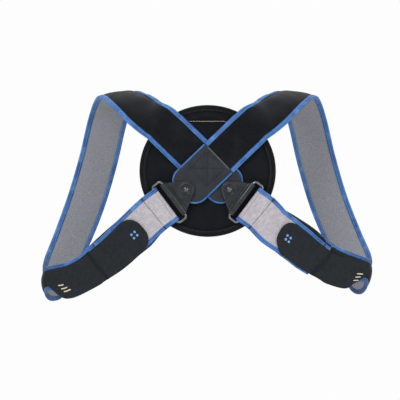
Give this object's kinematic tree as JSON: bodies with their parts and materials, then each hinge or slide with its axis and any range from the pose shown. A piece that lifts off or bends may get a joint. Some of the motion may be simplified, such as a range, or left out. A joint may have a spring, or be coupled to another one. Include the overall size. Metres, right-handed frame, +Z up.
{
  "type": "clavicle brace",
  "caption": "Figure-of-eight clavicle brace in worn shape: round back pad, padded shoulder bands crossing on it, ring buckles and hook-and-loop closing straps.",
  "frame": {"origin": "middle of the back pad's face that lies on the wearer's back", "axes": "+Y into the wearer and to the front, +Z up along the spine, +X to the wearer's right"},
  "size_m": [0.3747, 0.145, 0.2421],
  "materials": {
    "velour": "black velour loop fabric with a short pile",
    "pad_rim": "black elastic binding round the pad",
    "label": "bare black sewn patch, slightly glossy",
    "lining": "light grey brushed lining",
    "binding": "blue woven edge binding",
    "leatherette": "dark grey grained leatherette",
    "plastic": "black moulded plastic, satin",
    "rivet": "dark polished rivet head",
    "steel": "dark chromed wire",
    "webbing": "light grey loop webbing",
    "closing_strap": "black coated hook strap, matt"
  },
  "bodies": {
    "root": {"back_pad": "velour", "back_pad_rim": "pad_rim", "pad_label": "label", "left_shoulder_band": "velour", "left_band_lining": "lining", "left_band_binding_outer": "binding", "left_band_binding_inner": "binding", "left_strap_end": "leatherette", "left_strap_end_piping": "binding", "left_buckle_plate": "plastic", "left_buckle_rivet": "rivet", "left_buckle_ring": "steel", "left_fastening_band": "webbing", "left_fastening_binding_upper": "binding", "left_fastening_binding_lower": "binding", "left_closing_strap": "closing_strap", "right_shoulder_band": "velour", "right_band_lining": "lining", "right_band_binding_outer": "binding", "right_band_binding_inner": "binding", "right_strap_end": "leatherette", "right_strap_end_piping": "binding", "right_buckle_plate": "plastic", "right_buckle_rivet": "rivet", "right_buckle_ring": "steel", "right_fastening_band": "webbing", "right_fastening_binding_upper": "binding", "right_fastening_binding_lower": "binding", "right_closing_strap": "closing_strap"}
  },
  "joints": []
}
